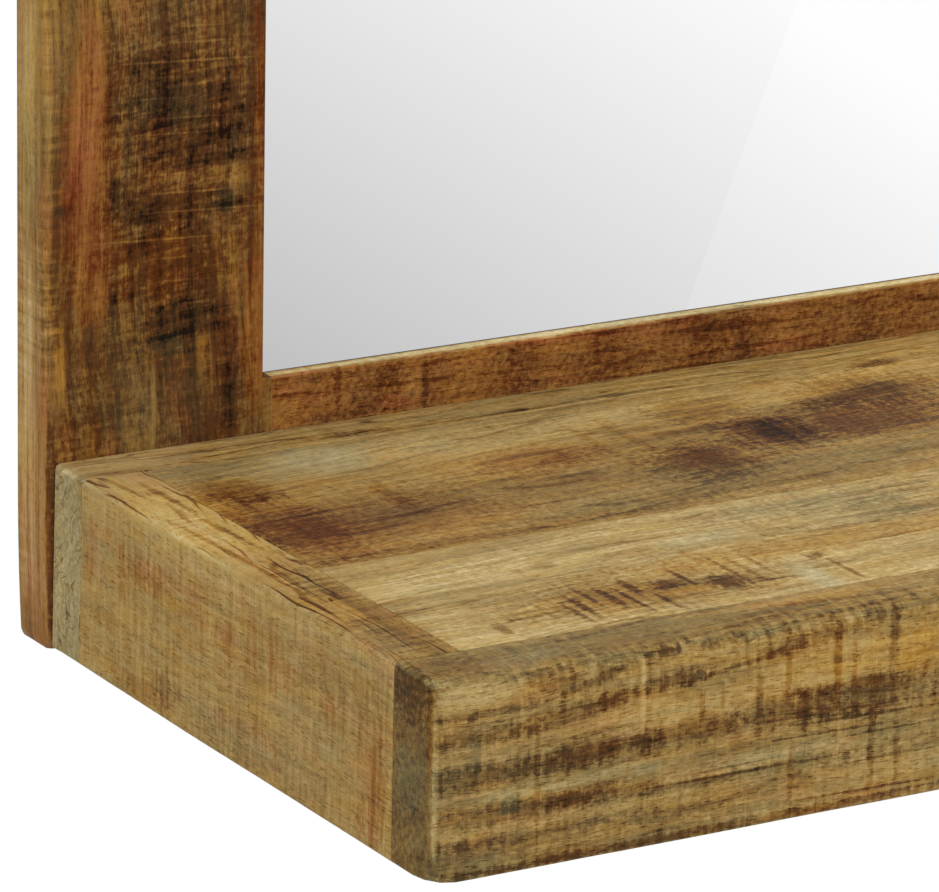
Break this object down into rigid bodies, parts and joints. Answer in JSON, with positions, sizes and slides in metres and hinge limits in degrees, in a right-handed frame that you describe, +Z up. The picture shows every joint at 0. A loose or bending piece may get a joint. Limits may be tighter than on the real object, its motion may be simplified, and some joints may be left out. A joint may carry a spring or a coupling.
{
  "type": "wall mirror with shelf",
  "caption": "Wall mirror in a solid mango wood frame with a deep wooden shelf along its foot, and hinged hanger rings on the back.",
  "frame": {"origin": "on the frame's back face, midway between the two hanger rings, at the height of the bars they swing on", "axes": "+Z up, +Y out of the back towards the wall, so the mirror looks along -Y, +X to the right seen from the front"},
  "size_m": [0.5, 0.2056, 0.802],
  "materials": {
    "stile_wood": "satin clear coat, brown mango with dark sawn patches",
    "rail_wood": "satin clear coat, rust-brown mango",
    "shelf_board_wood": "satin clear coat, tan mango with brown saw marks",
    "shelf_end_wood": "satin clear coat, golden mango",
    "stained_plank_wood": "satin clear coat, grey-brown stained mango",
    "pale_plank_wood": "satin clear coat, pale mango",
    "raw_wood": "raw",
    "mirror": "silvered float glass",
    "hardboard": "raw pressed fibre",
    "strap_steel": "zinc plated",
    "ring_steel": "zinc plated",
    "screw_steel": "yellow zinc plated"
  },
  "bodies": {
    "mirror_and_shelf": {"backing_board": "hardboard", "backing_screw_bottom_1": "screw_steel", "backing_screw_bottom_2": "screw_steel", "backing_screw_left_1": "screw_steel", "backing_screw_left_2": "screw_steel", "backing_screw_left_3": "screw_steel", "backing_screw_right_1": "screw_steel", "backing_screw_right_2": "screw_steel", "backing_screw_right_3": "screw_steel", "backing_screw_top_1": "screw_steel", "backing_screw_top_2": "screw_steel", "bottom_rail": "rail_wood", "cleat_screw_left_front": "screw_steel", "cleat_screw_left_rear": "screw_steel", "cleat_screw_right_front": "screw_steel", "cleat_screw_right_rear": "screw_steel", "frame_dowel_bottom_left_1": "raw_wood", "frame_dowel_bottom_left_2": "raw_wood", "frame_dowel_bottom_right_1": "raw_wood", "frame_dowel_bottom_right_2": "raw_wood", "frame_dowel_top_left_1": "raw_wood", "frame_dowel_top_left_2": "raw_wood", "frame_dowel_top_right_1": "raw_wood", "frame_dowel_top_right_2": "raw_wood", "hanger_screw_left_1": "screw_steel", "hanger_screw_left_2": "screw_steel", "hanger_screw_right_1": "screw_steel", "hanger_screw_right_2": "screw_steel", "hanger_strap_left": "strap_steel", "hanger_strap_right": "strap_steel", "left_stile": "stile_wood", "mirror_glass": "mirror", "right_stile": "stile_wood", "shelf_back_board": "shelf_board_wood", "shelf_cleat_left": "raw_wood", "shelf_cleat_right": "raw_wood", "shelf_dowel_back_left_1": "raw_wood", "shelf_dowel_back_left_2": "raw_wood", "shelf_dowel_back_right_1": "raw_wood", "shelf_dowel_back_right_2": "raw_wood", "shelf_dowel_front_left_1": "raw_wood", "shelf_dowel_front_left_2": "raw_wood", "shelf_dowel_front_right_1": "raw_wood", "shelf_dowel_front_right_2": "raw_wood", "shelf_front_board": "shelf_board_wood", "shelf_front_plank": "pale_plank_wood", "shelf_left_end": "shelf_end_wood", "shelf_rear_plank": "stained_plank_wood", "shelf_right_end": "shelf_end_wood", "shelf_screw_left_inner": "screw_steel", "shelf_screw_left_outer": "screw_steel", "shelf_screw_right_inner": "screw_steel", "shelf_screw_right_outer": "screw_steel", "top_rail": "rail_wood"},
    "ring_left": {"hanger_ring_left": "ring_steel"},
    "ring_right": {"hanger_ring_right": "ring_steel"}
  },
  "joints": [
    {"name": "ring_left_swing", "type": "hinge", "parent": "mirror_and_shelf", "child": "ring_left", "pos_m": [-0.227, 0.0033, 0], "axis": [1, 0, 0], "range_deg": [0, 180]},
    {"name": "ring_right_swing", "type": "hinge", "parent": "mirror_and_shelf", "child": "ring_right", "pos_m": [0.227, 0.0033, 0], "axis": [1, 0, 0], "range_deg": [0, 180]}
  ]
}
